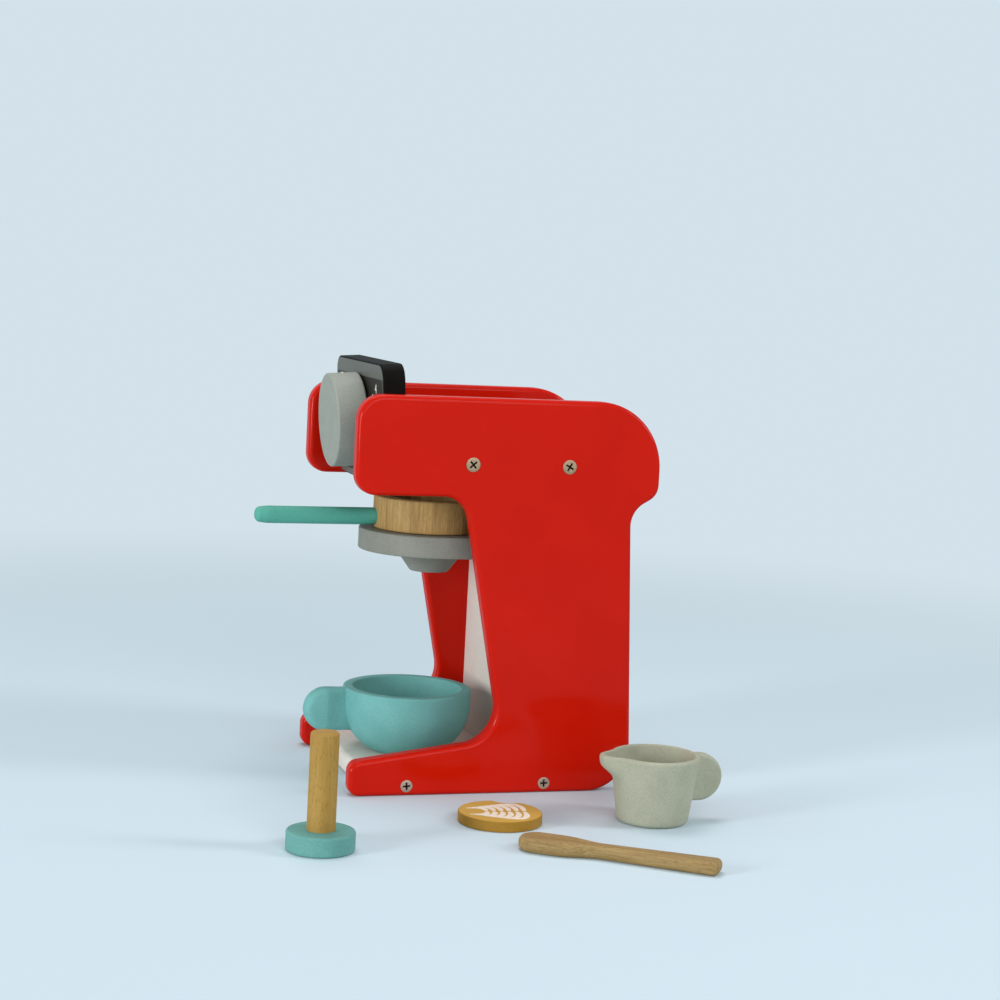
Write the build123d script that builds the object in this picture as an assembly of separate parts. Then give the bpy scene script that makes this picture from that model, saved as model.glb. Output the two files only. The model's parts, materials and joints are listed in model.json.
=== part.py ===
from build123d import *
import math
import os

# Wooden toy coffee maker with its cup, jug, tamper, stirrer and coffee-art disc.
#
# Millimetres, +Z up. The machine's front faces -Y and its right-hand side panel is at +X.
# The origin is on the floor, midway between the side panels; Y = 0 lies in the column.

# ---- Side panels -----------------------------------------------------------------------
INNER_WIDTH = 127.0             # clear width between the side panels
PANEL_THICKNESS = 12.0
PANEL_EDGE_RADIUS = 3.0
MACHINE_HEIGHT = 250.0
HEAD_UNDERSIDE_Z = 188.1
HEAD_FRONT_Y = -94.8
HEAD_REAR_Y = 103.7
LIP_FRONT_Y = -90.8
PANEL_CORNERS = [               # (y, z, corner radius), from the toe up round the head
    (LIP_FRONT_Y, 0.0, 7.0),                    # toe of the tray lip
    (LIP_FRONT_Y, 21.4, 7.0),                   # nose of the tray lip
    (7.0, 34.9, 23.0),                          # lip sweeps up into the column
    (-23.7, HEAD_UNDERSIDE_Z, 18.0),            # column sweeps out under the head
    (HEAD_FRONT_Y, HEAD_UNDERSIDE_Z, 13.0),     # head, lower front
    (HEAD_FRONT_Y, MACHINE_HEIGHT, 16.0),       # head, upper front
    (HEAD_REAR_Y, MACHINE_HEIGHT, 42.5),        # big round over the back of the head
    (HEAD_REAR_Y, 191.5, 11.5),                 # heel of the head
    (85.6, 181.1, 16.5),                        # heel sweeps in to the column
    (95.5, 0.0, 28.0),                          # rounded rear foot
]

# ---- Cross boards ----------------------------------------------------------------------
BOARD_THICKNESS = 12.0
BOARD_EDGE_RADIUS = 1.0
TRAY_THICKNESS = 12.5
TRAY_FRONT_Y = -80.0
TRAY_REAR_Y = 64.0
TRAY_NOSE_RADIUS = 4.0
BACK_BOARD_FRONT_Y = 21.6
TOP_BOARD_Z = 202.5             # underside of the board inside the head
TOP_BOARD_REAR_Y = 62.0

# ---- Fasteners -------------------------------------------------------------------------
HEAD_SCREW_Y = (-21.0, 42.2)    # two screws a side into the top board
FOOT_SCREW_Y = (-53.9, 36.4)    # two screws a side into the tray board
HEAD_SCREW_DIAMETER = 9.4
FOOT_SCREW_DIAMETER = 8.0
SCREW_SHANK_DIAMETER = 4.0
SCREW_LENGTH = 38.0
SCREW_TIP_LENGTH = 5.0
SCREW_TIP_SHARE = 0.25          # the blunt tip's diameter over the shank's
SHANK_CLEARANCE = 0.2           # round a shank, in the piece that it only passes through
RECESS_SHARE = 0.55             # the cross recess's span over the head's diameter
RECESS_WIDTH = 1.1
RECESS_DEPTH = 1.6
FIRST_SCREW_TURN = 35.0         # degrees; each screw was stopped where it was tight
NEXT_SCREW_TURN = 75.0
HIDDEN_SCREW_TURN = 10.0
COLLAR_SCREW_SPACING = 32.0
COLLAR_SCREW_LENGTH = 32.0
DOWEL_DIAMETER = 6.0
DOWEL_SPACING = 84.0
DOWEL_DEPTH_IN_FACE = 8.0
DOWEL_DEPTH_IN_END = 16.0

# ---- Dial plate and knob ---------------------------------------------------------------
DIAL_LEAN = 4.0                 # degrees; the plate's top leans forward
DIAL_FRONT_Y = -75.8            # plate's front face on the knob's axis
KNOB_AXIS_Z = 229.6
PLATE_THICKNESS = 14.2
PLATE_TOP = 38.0                # above the knob's axis
PLATE_BOTTOM = -39.4            # below the knob's axis
PLATE_CORNER_RADIUS = 10.0
KNOB_DIAMETER = 60.0
KNOB_THICKNESS = 19.6
KNOB_GAP = 1.4                  # knob's back to the plate
KNOB_EDGE_RADIUS = 1.5
WASHER_DIAMETER = 26.0
WASHER_BORE_DIAMETER = 10.6
WASHER_THICKNESS = 1.0
AXLE_DIAMETER = 10.0
AXLE_RUNNING_CLEARANCE = 0.08   # radial, in the plate's bore
AXLE_DEPTH_IN_KNOB = 12.0
AXLE_STAND_OUT = 0.6            # past the plate's back
AXLE_COLLAR_DIAMETER = 24.0
AXLE_COLLAR_THICKNESS = 2.5
AXLE_SCREW_DIAMETER = 8.0
AXLE_SCREW_LENGTH = 20.0

# ---- Brewing group ---------------------------------------------------------------------
BREW_AXIS_Y = -25.2
COLLAR_TOP_Z = 159.0
COLLAR_THICKNESS = 13.8
COLLAR_RADIUS = 47.0            # of the round front, and half the width behind it
COLLAR_EDGE_RADIUS = 1.0
NOZZLE_TOP_RADIUS = 22.6
NOZZLE_TIP_RADIUS = 12.6
NOZZLE_TIP_Z = 131.5
NOZZLE_TIP_ROUNDING = 1.2
STRIKE_DIAMETER = 18.0
STRIKE_THICKNESS = 1.5
STRIKE_SCREW_DIAMETER = 7.0
STRIKE_SCREW_LENGTH = 14.0
SMALL_SHANK_DIAMETER = 3.5
FILTER_GAP = 0.3                # bowl's underside to the collar
FILTER_HEIGHT = 21.0
FILTER_RADIUS = 38.1
FILTER_INNER_RADIUS = 28.5
FILTER_FLOOR = 7.0
FILTER_EDGE_RADIUS = 1.2
MAGNET_DIAMETER = 12.0
MAGNET_THICKNESS = 3.0
HANDLE_AXIS_Z = 166.6
HANDLE_RADIUS = 5.6
HANDLE_TIP_RADIUS = 4.6         # of the turned-down end, before its rounding
HANDLE_TIP_LENGTH = 8.0
HANDLE_TIP_ROUNDING = 3.6
HANDLE_TIP_Y = -142.0
HANDLE_DEPTH_IN_BOWL = 7.0

# ---- Cup -------------------------------------------------------------------------------
CUP_Y = -36.0
CUP_GAP = 0.2                   # cup's foot to the tray
CUP_HEIGHT = 41.5
CUP_FOOT_RADIUS = 22.0
CUP_BELLY_RADIUS = 36.6
CUP_BELLY_Z = 12.5
CUP_SHOULDER_RADIUS = 41.8
CUP_SHOULDER_Z = 28.0
CUP_RIM_RADIUS = 42.2
CUP_WALL = 6.4
CUP_WALL_SLOPE = (0.9, 0.45)    # the wall's run inward and upward at the belly
CUP_FLOOR = 6.0
CUP_RIM_ROUNDING = 2.4
EAR_RADIUS = 14.2
CUP_EAR_THICKNESS = 13.0
CUP_EAR_REACH = 54.6            # cup's axis to the ear's centre
CUP_EAR_Z = 27.2                # ear's centre above the cup's foot
CUP_EAR_ROUNDING = 4.5
CUP_EAR_SCOOP_RADIUS = 9.0
CUP_EAR_SCOOP_DEPTH = 2.4
CUP_EAR_SCOOP_REACH = 45.0

# ---- Jug -------------------------------------------------------------------------------
JUG_X = 148.0
JUG_Y = 82.1
JUG_HEIGHT = 41.8
JUG_FOOT_RADIUS = 21.7
JUG_RIM_RADIUS = 27.5
JUG_WALL = 3.4
JUG_FLOOR = 4.5
JUG_FOOT_ROUNDING = 3.0
SPOUT_RADIUS = 9.0              # at the rim, in plan
SPOUT_REACH = 26.6              # jug's axis to the spout's centre at the rim
SPOUT_ROOT_RADIUS = 3.0
SPOUT_ROOT_REACH = 20.6
SPOUT_DEPTH = 12.0
JUG_EAR_RADIUS = 14.6
JUG_EAR_THICKNESS = 9.0
JUG_EAR_REACH = 28.8
JUG_EAR_Z = 27.1
JUG_EAR_ROUNDING = 2.5

# ---- Tamper ----------------------------------------------------------------------------
TAMPER_X = 187.5
TAMPER_Y = -133.2
TAMPER_BASE_RADIUS = 19.7
TAMPER_BASE_HEIGHT = 11.5
TAMPER_HEIGHT = 67.5
TAMPER_ROD_RADIUS = 8.2
TAMPER_ROD_DEPTH = 6.0
TAMPER_BASE_ROUNDING = 1.5
TAMPER_ROD_ROUNDING = 1.8

# ---- Coffee-art disc -------------------------------------------------------------------
DISC_X = 141.0
DISC_Y = -13.0
DISC_RADIUS = 25.4
DISC_THICKNESS = 6.6
DISC_EDGE_RADIUS = 0.8
THUMB_NOTCH_RADIUS = 11.0
THUMB_NOTCH_REACH = 31.5        # disc's centre to the notch's centre
THUMB_NOTCH_TURN = 25.0         # degrees from -X towards +Y

# ---- Stirrer ---------------------------------------------------------------------------
STIRRER_X = 196.0               # tip of the paddle
STIRRER_Y = -18.5
STIRRER_TURN = 35.0             # degrees from +Y towards +X
STIRRER_LENGTH = 118.0
STIRRER_THICKNESS = 8.2
STIRRER_ROUNDING = 2.8
PADDLE_RADIUS = 11.0
PADDLE_CENTRE_GAP = 13.0        # two overlapping rounds make the long paddle
PADDLE_NECK_WIDTH = 10.0
NECK_DISTANCE = 50.0            # tip of the paddle to the narrowest place
HANDLE_END_WIDTH = 15.0
HANDLE_END_RADIUS = 3.5

HALF_WIDTH = INNER_WIDTH / 2
OUTER_X = HALF_WIDTH + PANEL_THICKNESS
BACK_BOARD_REAR_Y = BACK_BOARD_FRONT_Y + BOARD_THICKNESS
TRAY_SCREW_Z = TRAY_THICKNESS / 2
TOP_SCREW_Z = TOP_BOARD_Z + BOARD_THICKNESS / 2
COLLAR_SCREW_Z = COLLAR_TOP_Z - COLLAR_THICKNESS / 2
FILTER_Z = COLLAR_TOP_Z + FILTER_GAP
CUP_Z = TRAY_THICKNESS + CUP_GAP
DIAL = Location((0, DIAL_FRONT_Y, KNOB_AXIS_Z), (DIAL_LEAN, 0, 0))

BOTTOM = (Align.CENTER, Align.CENTER, Align.MIN)
TOP = (Align.CENTER, Align.CENTER, Align.MAX)


# ---- Helpers ---------------------------------------------------------------------------
def box_between(low, high):
    """A box from its lowest to its highest corner."""
    size = [top - bottom for bottom, top in zip(low, high)]
    middle = [(top + bottom) / 2 for bottom, top in zip(low, high)]
    return Pos(*middle) * Box(*size)


def along_y(radius, front_y, rear_y):
    """A round bar from front_y to rear_y on the local Y axis."""
    bar = Cylinder(radius, rear_y - front_y, align=BOTTOM)
    return Pos(0, front_y, 0) * Rot(-90, 0, 0) * bar


def turned(outline):
    """A solid turned about the Z axis from a closed (radius, z) outline."""
    return revolve(Plane.XZ * make_face(outline), Axis.Z)


def edges_at(solid, axis, value):
    """The solid's edges that lie in the plane at value along the axis."""
    return solid.edges().filter_by_position(axis, value, value)


def screw_tip(shank_diameter):
    """A screw's blunt point: it starts at z = 0 and narrows towards -Z."""
    radius = shank_diameter / 2
    return Cone(radius * SCREW_TIP_SHARE, radius, SCREW_TIP_LENGTH, align=TOP)


def countersunk_screw(head_diameter, shank_diameter, length, turn):
    """A cross-head wood screw: its face is at z = 0 and its point towards -Z."""
    head_height = (head_diameter - shank_diameter) / 2
    shank_length = length - SCREW_TIP_LENGTH
    head = Cone(shank_diameter / 2, head_diameter / 2, head_height, align=TOP)
    shank = Cylinder(shank_diameter / 2, shank_length, align=TOP)
    body = head + shank + Pos(0, 0, -shank_length) * screw_tip(shank_diameter)
    arm = Box(head_diameter * RECESS_SHARE, RECESS_WIDTH, RECESS_DEPTH, align=TOP)
    recess = Rot(0, 0, turn) * arm + Rot(0, 0, turn + 90) * arm
    return body - recess


def screw_hole(head_diameter, shank_diameter, length):
    """What a countersunk screw takes out of the piece that it passes through."""
    head_height = (head_diameter - shank_diameter) / 2
    head = Cone(shank_diameter / 2, head_diameter / 2, head_height, align=TOP)
    return head + Cylinder(shank_diameter / 2 + SHANK_CLEARANCE, length, align=TOP)


def screw_body(shank_diameter, length):
    """What a screw's shank takes out of the wood that it bites in."""
    shank_length = length - SCREW_TIP_LENGTH
    shank = Cylinder(shank_diameter / 2, shank_length, align=TOP)
    return shank + Pos(0, 0, -shank_length) * screw_tip(shank_diameter)


# ---- Where the screws and dowels sit ---------------------------------------------------
def side_places(side, screw_y, z):
    """Screw places on one outer face; side is +1 at +X and -1 at -X."""
    return [Location((side * OUTER_X, y, z), (0, side * 90, 0)) for y in screw_y]


def collar_screw_places():
    """Two screws through the back board, pointing forward into the drip collar."""
    half = COLLAR_SCREW_SPACING / 2
    return [Location((x, BACK_BOARD_REAR_Y, COLLAR_SCREW_Z), (-90, 0, 0)) for x in (-half, half)]


def back_board_dowels():
    """Four dowels: the back board's foot to the tray, and its head to the top board."""
    length = DOWEL_DEPTH_IN_FACE + DOWEL_DEPTH_IN_END
    starts = (TRAY_THICKNESS - DOWEL_DEPTH_IN_FACE, TOP_BOARD_Z - DOWEL_DEPTH_IN_END)
    y = (BACK_BOARD_FRONT_Y + BACK_BOARD_REAR_Y) / 2
    peg = Cylinder(DOWEL_DIAMETER / 2, length, align=BOTTOM)
    half = DOWEL_SPACING / 2
    return [Pos(x, y, z) * peg for z in starts for x in (-half, half)]


def dial_plate_dowels():
    """Two dowels that run level from the dial plate back into the top board."""
    drop = KNOB_AXIS_Z - TOP_SCREW_Z
    rear_y = DIAL_FRONT_Y + PLATE_THICKNESS + drop * math.tan(math.radians(DIAL_LEAN))
    front_end = rear_y - DOWEL_DEPTH_IN_FACE
    rear_end = rear_y + DOWEL_DEPTH_IN_END
    half = DOWEL_SPACING / 2
    return [Pos(x, 0, TOP_SCREW_Z) * along_y(DOWEL_DIAMETER / 2, front_end, rear_end) for x in (-half, half)]


# ---- The machine -----------------------------------------------------------------------
def side_panel(side):
    """One side panel with its rounded edges and its four countersunk holes."""
    points = [(y, z) for y, z, _ in PANEL_CORNERS]
    radii = [radius for _, _, radius in PANEL_CORNERS]
    outline = FilletPolyline(*points, radius=radii, close=True)
    blank = extrude(Plane.YZ * make_face(outline), PANEL_THICKNESS)
    blank = fillet(blank.faces().filter_by(Axis.X).edges(), PANEL_EDGE_RADIUS)
    start_x = HALF_WIDTH if side > 0 else -OUTER_X
    panel = Pos(start_x, 0, 0) * blank
    head_hole = screw_hole(HEAD_SCREW_DIAMETER, SCREW_SHANK_DIAMETER, SCREW_LENGTH)
    foot_hole = screw_hole(FOOT_SCREW_DIAMETER, SCREW_SHANK_DIAMETER, SCREW_LENGTH)
    for place in side_places(side, HEAD_SCREW_Y, TOP_SCREW_Z):
        panel -= place * head_hole
    for place in side_places(side, FOOT_SCREW_Y, TRAY_SCREW_Z):
        panel -= place * foot_hole
    return panel


def side_screws(side, screw_y, z, head_diameter):
    """Two cross-head screws in one side panel, each stopped at its own turn."""
    screws = []
    for place, turn in zip(side_places(side, screw_y, z), (FIRST_SCREW_TURN, NEXT_SCREW_TURN)):
        screws.append(place * countersunk_screw(head_diameter, SCREW_SHANK_DIAMETER, SCREW_LENGTH, turn))
    return Compound(screws)


def side_screw_bodies(screw_y, z):
    """The wood that both sides' screws take out of the board between the panels."""
    places = side_places(1, screw_y, z) + side_places(-1, screw_y, z)
    return [place * screw_body(SCREW_SHANK_DIAMETER, SCREW_LENGTH) for place in places]


def base_board():
    """The tray board: it carries the cup and ties the side panels' feet."""
    board = box_between((-HALF_WIDTH, TRAY_FRONT_Y, 0), (HALF_WIDTH, TRAY_REAR_Y, TRAY_THICKNESS))
    nose = board.edges().filter_by(Axis.X).sort_by(Axis.Y)[:2]
    board = fillet(nose, TRAY_NOSE_RADIUS)
    for peg in back_board_dowels():
        board -= peg
    for hole in side_screw_bodies(FOOT_SCREW_Y, TRAY_SCREW_Z):
        board -= hole
    return board


def back_board():
    """The upright board behind the cup, between the tray and the top board."""
    low = (-HALF_WIDTH, BACK_BOARD_FRONT_Y, TRAY_THICKNESS)
    high = (HALF_WIDTH, BACK_BOARD_REAR_Y, TOP_BOARD_Z)
    board = box_between(low, high)
    for peg in back_board_dowels():
        board -= peg
    for place in collar_screw_places():
        board -= place * screw_hole(HEAD_SCREW_DIAMETER, SCREW_SHANK_DIAMETER, COLLAR_SCREW_LENGTH)
    return board


def top_board():
    """The level board inside the head, bevelled in front to meet the leaning plate."""
    low = (-HALF_WIDTH, DIAL_FRONT_Y, TOP_BOARD_Z)
    high = (HALF_WIDTH, TOP_BOARD_REAR_Y, TOP_BOARD_Z + BOARD_THICKNESS)
    board = box_between(low, high)
    room = (-INNER_WIDTH, -INNER_WIDTH, -INNER_WIDTH), (INNER_WIDTH, PLATE_THICKNESS, INNER_WIDTH)
    board -= DIAL * box_between(*room)
    for peg in back_board_dowels() + dial_plate_dowels():
        board -= peg
    for hole in side_screw_bodies(HEAD_SCREW_Y, TOP_SCREW_Z):
        board -= hole
    return board


def dial_plate():
    """The leaning plate that closes the head's front and carries the knob's axle."""
    low = (-HALF_WIDTH, 0, PLATE_BOTTOM)
    high = (HALF_WIDTH, PLATE_THICKNESS, PLATE_TOP)
    plate = box_between(low, high)
    plate = fillet(plate.edges().filter_by(Axis.Y), PLATE_CORNER_RADIUS)
    plate = fillet(plate.faces().filter_by(Axis.Y).edges(), BOARD_EDGE_RADIUS)
    plate -= along_y(AXLE_DIAMETER / 2 + AXLE_RUNNING_CLEARANCE, -1, PLATE_THICKNESS + 1)
    plate = DIAL * plate
    for peg in dial_plate_dowels():
        plate -= peg
    return plate


def control_knob():
    """The turning knob: a thick disc with softened edges, bored for its axle."""
    rear = -KNOB_GAP
    knob = along_y(KNOB_DIAMETER / 2, rear - KNOB_THICKNESS, rear)
    knob = fillet(knob.edges().filter_by(GeomType.CIRCLE), KNOB_EDGE_RADIUS)
    knob -= along_y(AXLE_DIAMETER / 2, rear - AXLE_DEPTH_IN_KNOB, rear)
    return DIAL * knob


def knob_washer():
    """A felt ring that keeps the knob from rubbing on the plate."""
    ring = along_y(WASHER_DIAMETER / 2, -WASHER_THICKNESS, 0)
    return DIAL * (ring - along_y(WASHER_BORE_DIAMETER / 2, -WASHER_THICKNESS, 0))


def axle_end_y():
    """The axle's rear end, measured from the plate's front face."""
    return PLATE_THICKNESS + AXLE_STAND_OUT


def axle_screw_place():
    """The axle's end screw: its face is flush with the retaining collar's back."""
    return Location((0, axle_end_y() + AXLE_COLLAR_THICKNESS, 0), (-90, 0, 0))


def knob_axle():
    """The dowel that the knob is glued to, turning in the plate's bore."""
    axle = along_y(AXLE_DIAMETER / 2, -KNOB_GAP - AXLE_DEPTH_IN_KNOB, axle_end_y())
    return DIAL * (axle - axle_screw_place() * screw_body(SMALL_SHANK_DIAMETER, AXLE_SCREW_LENGTH))


def axle_collar():
    """The steel retaining washer behind the plate."""
    ring = along_y(AXLE_COLLAR_DIAMETER / 2, axle_end_y(), axle_end_y() + AXLE_COLLAR_THICKNESS)
    hole = screw_hole(AXLE_SCREW_DIAMETER, SMALL_SHANK_DIAMETER, AXLE_SCREW_LENGTH)
    return DIAL * (ring - axle_screw_place() * hole)


def axle_collar_screw():
    """The screw that holds the retaining washer to the axle."""
    sizes = (AXLE_SCREW_DIAMETER, SMALL_SHANK_DIAMETER, AXLE_SCREW_LENGTH)
    return DIAL * axle_screw_place() * countersunk_screw(*sizes, HIDDEN_SCREW_TURN)


# ---- Brewing group ---------------------------------------------------------------------
def strike_screw_place():
    """The strike washer's screw stands upright, flush with the collar's top."""
    return Pos(0, BREW_AXIS_Y, COLLAR_TOP_Z)


def drip_collar():
    """The fixed collar: round in front, with straight sides to the back board, and a nozzle."""
    underside_z = COLLAR_TOP_Z - COLLAR_THICKNESS
    width = 2 * COLLAR_RADIUS
    outline = Circle(COLLAR_RADIUS) + Pos(0, width / 2) * Rectangle(width, width)
    plate = Pos(0, 0, underside_z) * extrude(outline, COLLAR_THICKNESS)
    plate = fillet(edges_at(plate, Axis.Z, underside_z), COLLAR_EDGE_RADIUS)
    plate = fillet(edges_at(plate, Axis.Z, COLLAR_TOP_Z), COLLAR_EDGE_RADIUS)
    nozzle = Cone(NOZZLE_TIP_RADIUS, NOZZLE_TOP_RADIUS, underside_z - NOZZLE_TIP_Z, align=BOTTOM)
    nozzle = fillet(edges_at(nozzle, Axis.Z, 0), NOZZLE_TIP_ROUNDING)
    collar = Pos(0, BREW_AXIS_Y, 0) * (plate + Pos(0, 0, NOZZLE_TIP_Z) * nozzle)
    collar -= box_between((-width, BACK_BOARD_FRONT_Y, 0), (width, width, MACHINE_HEIGHT))
    for place in collar_screw_places():
        collar -= place * screw_body(SCREW_SHANK_DIAMETER, COLLAR_SCREW_LENGTH)
    collar -= strike_screw_place() * Cylinder(STRIKE_DIAMETER / 2, STRIKE_THICKNESS, align=TOP)
    collar -= strike_screw_place() * screw_body(SMALL_SHANK_DIAMETER, STRIKE_SCREW_LENGTH)
    head = screw_hole(STRIKE_SCREW_DIAMETER, SMALL_SHANK_DIAMETER, STRIKE_THICKNESS)
    return collar - strike_screw_place() * head


def drip_collar_screws():
    """Two screws from the back board's rear into the collar."""
    sizes = (HEAD_SCREW_DIAMETER, SCREW_SHANK_DIAMETER, COLLAR_SCREW_LENGTH)
    screw = countersunk_screw(*sizes, HIDDEN_SCREW_TURN)
    return Compound([place * screw for place in collar_screw_places()])


def strike_washer():
    """The steel washer in the collar's top that the filter's magnet holds on to."""
    washer = Cylinder(STRIKE_DIAMETER / 2, STRIKE_THICKNESS, align=TOP)
    hole = screw_hole(STRIKE_SCREW_DIAMETER, SMALL_SHANK_DIAMETER, STRIKE_SCREW_LENGTH)
    return strike_screw_place() * (washer - hole)


def strike_washer_screw():
    """The screw that holds the strike washer down."""
    sizes = (STRIKE_SCREW_DIAMETER, SMALL_SHANK_DIAMETER, STRIKE_SCREW_LENGTH)
    return strike_screw_place() * countersunk_screw(*sizes, HIDDEN_SCREW_TURN)


def filter_handle():
    """A round bar let into the filter bowl, turned down to a domed tip."""
    inner_end_y = BREW_AXIS_Y - FILTER_RADIUS + HANDLE_DEPTH_IN_BOWL
    bar = along_y(HANDLE_RADIUS, HANDLE_TIP_Y + HANDLE_TIP_LENGTH, inner_end_y)
    tip = Cone(HANDLE_TIP_RADIUS, HANDLE_RADIUS, HANDLE_TIP_LENGTH, align=BOTTOM)
    tip = fillet(edges_at(tip, Axis.Z, 0), HANDLE_TIP_ROUNDING)
    tip = Pos(0, HANDLE_TIP_Y, 0) * Rot(-90, 0, 0) * tip
    return Pos(0, 0, HANDLE_AXIS_Z) * (bar + tip)


def filter_bowl():
    """The beech filter bowl: hollow above, with a magnet seat below."""
    bowl = Cylinder(FILTER_RADIUS, FILTER_HEIGHT, align=BOTTOM)
    hollow = Pos(0, 0, FILTER_FLOOR) * Cylinder(FILTER_INNER_RADIUS, FILTER_HEIGHT, align=BOTTOM)
    bowl = bowl - hollow
    bowl = fillet(edges_at(bowl, Axis.Z, FILTER_HEIGHT), FILTER_EDGE_RADIUS)
    bowl = fillet(edges_at(bowl, Axis.Z, 0), FILTER_EDGE_RADIUS)
    bowl = Pos(0, BREW_AXIS_Y, FILTER_Z) * bowl
    return bowl - filter_magnet() - filter_handle()


def filter_magnet():
    """The disc magnet let into the bowl's underside."""
    magnet = Cylinder(MAGNET_DIAMETER / 2, MAGNET_THICKNESS, align=BOTTOM)
    return Pos(0, BREW_AXIS_Y, FILTER_Z) * magnet


# ---- Cup -------------------------------------------------------------------------------
def cup_outline(inset, floor_z):
    """The cup's turned section, drawn inset from its outer face, down to floor_z."""
    inward, upward = CUP_WALL_SLOPE
    foot = (CUP_FOOT_RADIUS - inset, floor_z)
    belly = (CUP_BELLY_RADIUS - inset * inward, CUP_BELLY_Z + inset * upward)
    shoulder = (CUP_SHOULDER_RADIUS - inset, CUP_SHOULDER_Z)
    rim = (CUP_RIM_RADIUS - inset, CUP_HEIGHT)
    side = ThreePointArc(foot, belly, shoulder)
    top = Polyline(shoulder, rim, (0, CUP_HEIGHT), (0, floor_z), foot)
    return side + top


def cup_bowl():
    """The turned cup, with a thick rounded rim."""
    bowl = turned(cup_outline(0, 0)) - turned(cup_outline(CUP_WALL, CUP_FLOOR))
    bowl = fillet(edges_at(bowl, Axis.Z, CUP_HEIGHT), CUP_RIM_ROUNDING)
    return Pos(0, CUP_Y, CUP_Z) * bowl


def rounded_ear(radius, thickness, reach, rounding):
    """A tongue in the YZ plane: from the axis to a round end at reach along +Y."""
    outline = Pos(reach, 0) * Circle(radius) + Pos(reach / 2, 0) * Rectangle(reach, 2 * radius)
    ear = extrude(Plane.YZ * outline, thickness / 2, both=True)
    return fillet(ear.faces().filter_by(Axis.X).edges(), rounding)


def cup_handle():
    """The cup's solid ear: a thumb-wide scoop on each side thins it next to the bowl."""
    ear = rounded_ear(EAR_RADIUS, CUP_EAR_THICKNESS, CUP_EAR_REACH, CUP_EAR_ROUNDING)
    scoop = Cylinder(CUP_EAR_SCOOP_RADIUS, 4 * EAR_RADIUS)
    offset_x = CUP_EAR_THICKNESS / 2 + CUP_EAR_SCOOP_RADIUS - CUP_EAR_SCOOP_DEPTH
    for x in (-offset_x, offset_x):
        ear -= Pos(x, CUP_EAR_SCOOP_REACH, 0) * scoop
    ear = Rot(0, 0, 180) * ear
    ear = Pos(0, 0, CUP_EAR_Z) * ear - turned(cup_outline(0, 0))
    return Pos(0, CUP_Y, CUP_Z) * ear


# ---- Jug -------------------------------------------------------------------------------
def jug_form(inset, floor_z):
    """The jug's outer form, or its hollow when inset by the wall."""
    foot_radius = JUG_FOOT_RADIUS + (JUG_RIM_RADIUS - JUG_FOOT_RADIUS) * floor_z / JUG_HEIGHT - inset
    body = Cone(foot_radius, JUG_RIM_RADIUS - inset, JUG_HEIGHT - floor_z, align=BOTTOM)
    rim_round = Pos(0, -SPOUT_REACH, JUG_HEIGHT) * Circle(SPOUT_RADIUS - inset)
    root_z = JUG_HEIGHT - SPOUT_DEPTH
    root_round = Pos(0, -SPOUT_ROOT_REACH + inset, root_z) * Circle(SPOUT_ROOT_RADIUS)
    spout = loft([root_round.face(), rim_round.face()])
    return Pos(0, 0, floor_z) * body + spout


def jug_body():
    """The tapered jug with its pouring spout."""
    outer = jug_form(0, 0)
    outer = fillet(edges_at(outer, Axis.Z, 0), JUG_FOOT_ROUNDING)
    jug = outer - jug_form(JUG_WALL, JUG_FLOOR)
    return Pos(JUG_X, JUG_Y, 0) * jug


def jug_handle():
    """The jug's solid round ear."""
    ear = rounded_ear(JUG_EAR_RADIUS, JUG_EAR_THICKNESS, JUG_EAR_REACH, JUG_EAR_ROUNDING)
    ear = Pos(0, 0, JUG_EAR_Z) * ear
    ear -= Cone(JUG_FOOT_RADIUS, JUG_RIM_RADIUS, JUG_HEIGHT, align=BOTTOM)
    return Pos(JUG_X, JUG_Y, 0) * ear


# ---- Loose pieces ----------------------------------------------------------------------
def tamper_rod():
    """The tamper's beech grip, glued into the base."""
    start_z = TAMPER_BASE_HEIGHT - TAMPER_ROD_DEPTH
    rod = Cylinder(TAMPER_ROD_RADIUS, TAMPER_HEIGHT - start_z, align=BOTTOM)
    rod = fillet(rod.edges().filter_by(GeomType.CIRCLE).sort_by(Axis.Z)[-1], TAMPER_ROD_ROUNDING)
    return Pos(TAMPER_X, TAMPER_Y, start_z) * rod


def tamper_base():
    """The tamper's round foot."""
    base = Cylinder(TAMPER_BASE_RADIUS, TAMPER_BASE_HEIGHT, align=BOTTOM)
    base = fillet(base.edges().filter_by(GeomType.CIRCLE), TAMPER_BASE_ROUNDING)
    return Pos(TAMPER_X, TAMPER_Y, 0) * base - tamper_rod()


def latte_disc():
    """The disc that stands for the coffee's surface, with a notch for a thumb."""
    disc = Cylinder(DISC_RADIUS, DISC_THICKNESS, align=BOTTOM)
    notch = Pos(-THUMB_NOTCH_REACH, 0, 0) * Cylinder(THUMB_NOTCH_RADIUS, DISC_THICKNESS, align=BOTTOM)
    disc -= Rot(0, 0, -THUMB_NOTCH_TURN) * notch
    disc = fillet(disc.faces().filter_by(Axis.Z).edges(), DISC_EDGE_RADIUS)
    return Pos(DISC_X, DISC_Y, 0) * disc


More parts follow.
